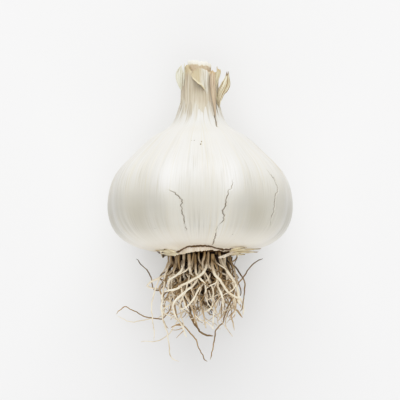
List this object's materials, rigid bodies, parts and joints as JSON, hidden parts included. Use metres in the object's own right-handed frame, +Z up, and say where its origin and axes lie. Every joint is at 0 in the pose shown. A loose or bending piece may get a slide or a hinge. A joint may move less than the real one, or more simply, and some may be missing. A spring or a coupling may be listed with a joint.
{
  "type": "garlic bulb",
  "caption": "Whole dried garlic bulb lying on its side, with papery skin over faint cloves, a cut neck with torn leaf ends, and a beard of dry roots.",
  "frame": {"origin": "middle of the small flat spot on the belly that the bulb rests on", "axes": "+Z up from the surface it lies on, +Y from the roots towards the cut neck, +X to the right seen from above with the neck pointing away"},
  "size_m": [0.0606, 0.0984, 0.0588],
  "materials": {
    "bulb_skin": "satin papery skin, off-white with fine streaks along the bulb",
    "neck_leaf": "dry fibrous leaf, beige and tan, matt",
    "stalk_core": "pale fibrous cut stalk, matt",
    "base_skin": "brown torn skin, matt",
    "root_plate": "brown corky disc, matt",
    "dry_root": "dry brown and cream roots, matt"
  },
  "bodies": {
    "root": {"base_flake_back": "base_skin", "base_flake_back_left": "base_skin", "base_flake_back_right": "base_skin", "base_flake_front": "base_skin", "base_flake_front_left": "base_skin", "base_flake_front_right": "base_skin", "base_flake_left": "base_skin", "base_flake_right": "base_skin", "bulb": "bulb_skin", "cut_stalk": "stalk_core", "inner_sheath": "neck_leaf", "neck_flap_front": "neck_leaf", "neck_strip_back": "neck_leaf", "neck_strip_inner_right": "neck_leaf", "neck_strip_left": "neck_leaf", "neck_strip_outer": "neck_leaf", "neck_strip_tall": "neck_leaf", "root_beard_01": "dry_root", "root_beard_02": "dry_root", "root_beard_03": "dry_root", "root_beard_04": "dry_root", "root_beard_05": "dry_root", "root_beard_06": "dry_root", "root_beard_07": "dry_root", "root_beard_08": "dry_root", "root_beard_09": "dry_root", "root_beard_10": "dry_root", "root_beard_11": "dry_root", "root_beard_12": "dry_root", "root_beard_13": "dry_root", "root_beard_14": "dry_root", "root_beard_15": "dry_root", "root_beard_16": "dry_root", "root_beard_17": "dry_root", "root_beard_18": "dry_root", "root_beard_19": "dry_root", "root_beard_20": "dry_root", "root_front_01": "dry_root", "root_front_02": "dry_root", "root_front_03": "dry_root", "root_front_04": "dry_root", "root_front_05": "dry_root", "root_front_06": "dry_root", "root_front_07": "dry_root", "root_front_08": "dry_root", "root_front_09": "dry_root", "root_plate": "root_plate", "root_stray_01": "dry_root", "root_stray_02": "dry_root", "root_stray_03": "dry_root", "root_stray_04": "dry_root", "root_stray_05": "dry_root", "root_stray_06": "dry_root", "root_stray_07": "dry_root", "root_stray_08": "dry_root", "root_stray_09": "dry_root", "root_stray_10": "dry_root", "root_stray_11": "dry_root", "root_stray_12": "dry_root"}
  },
  "joints": []
}
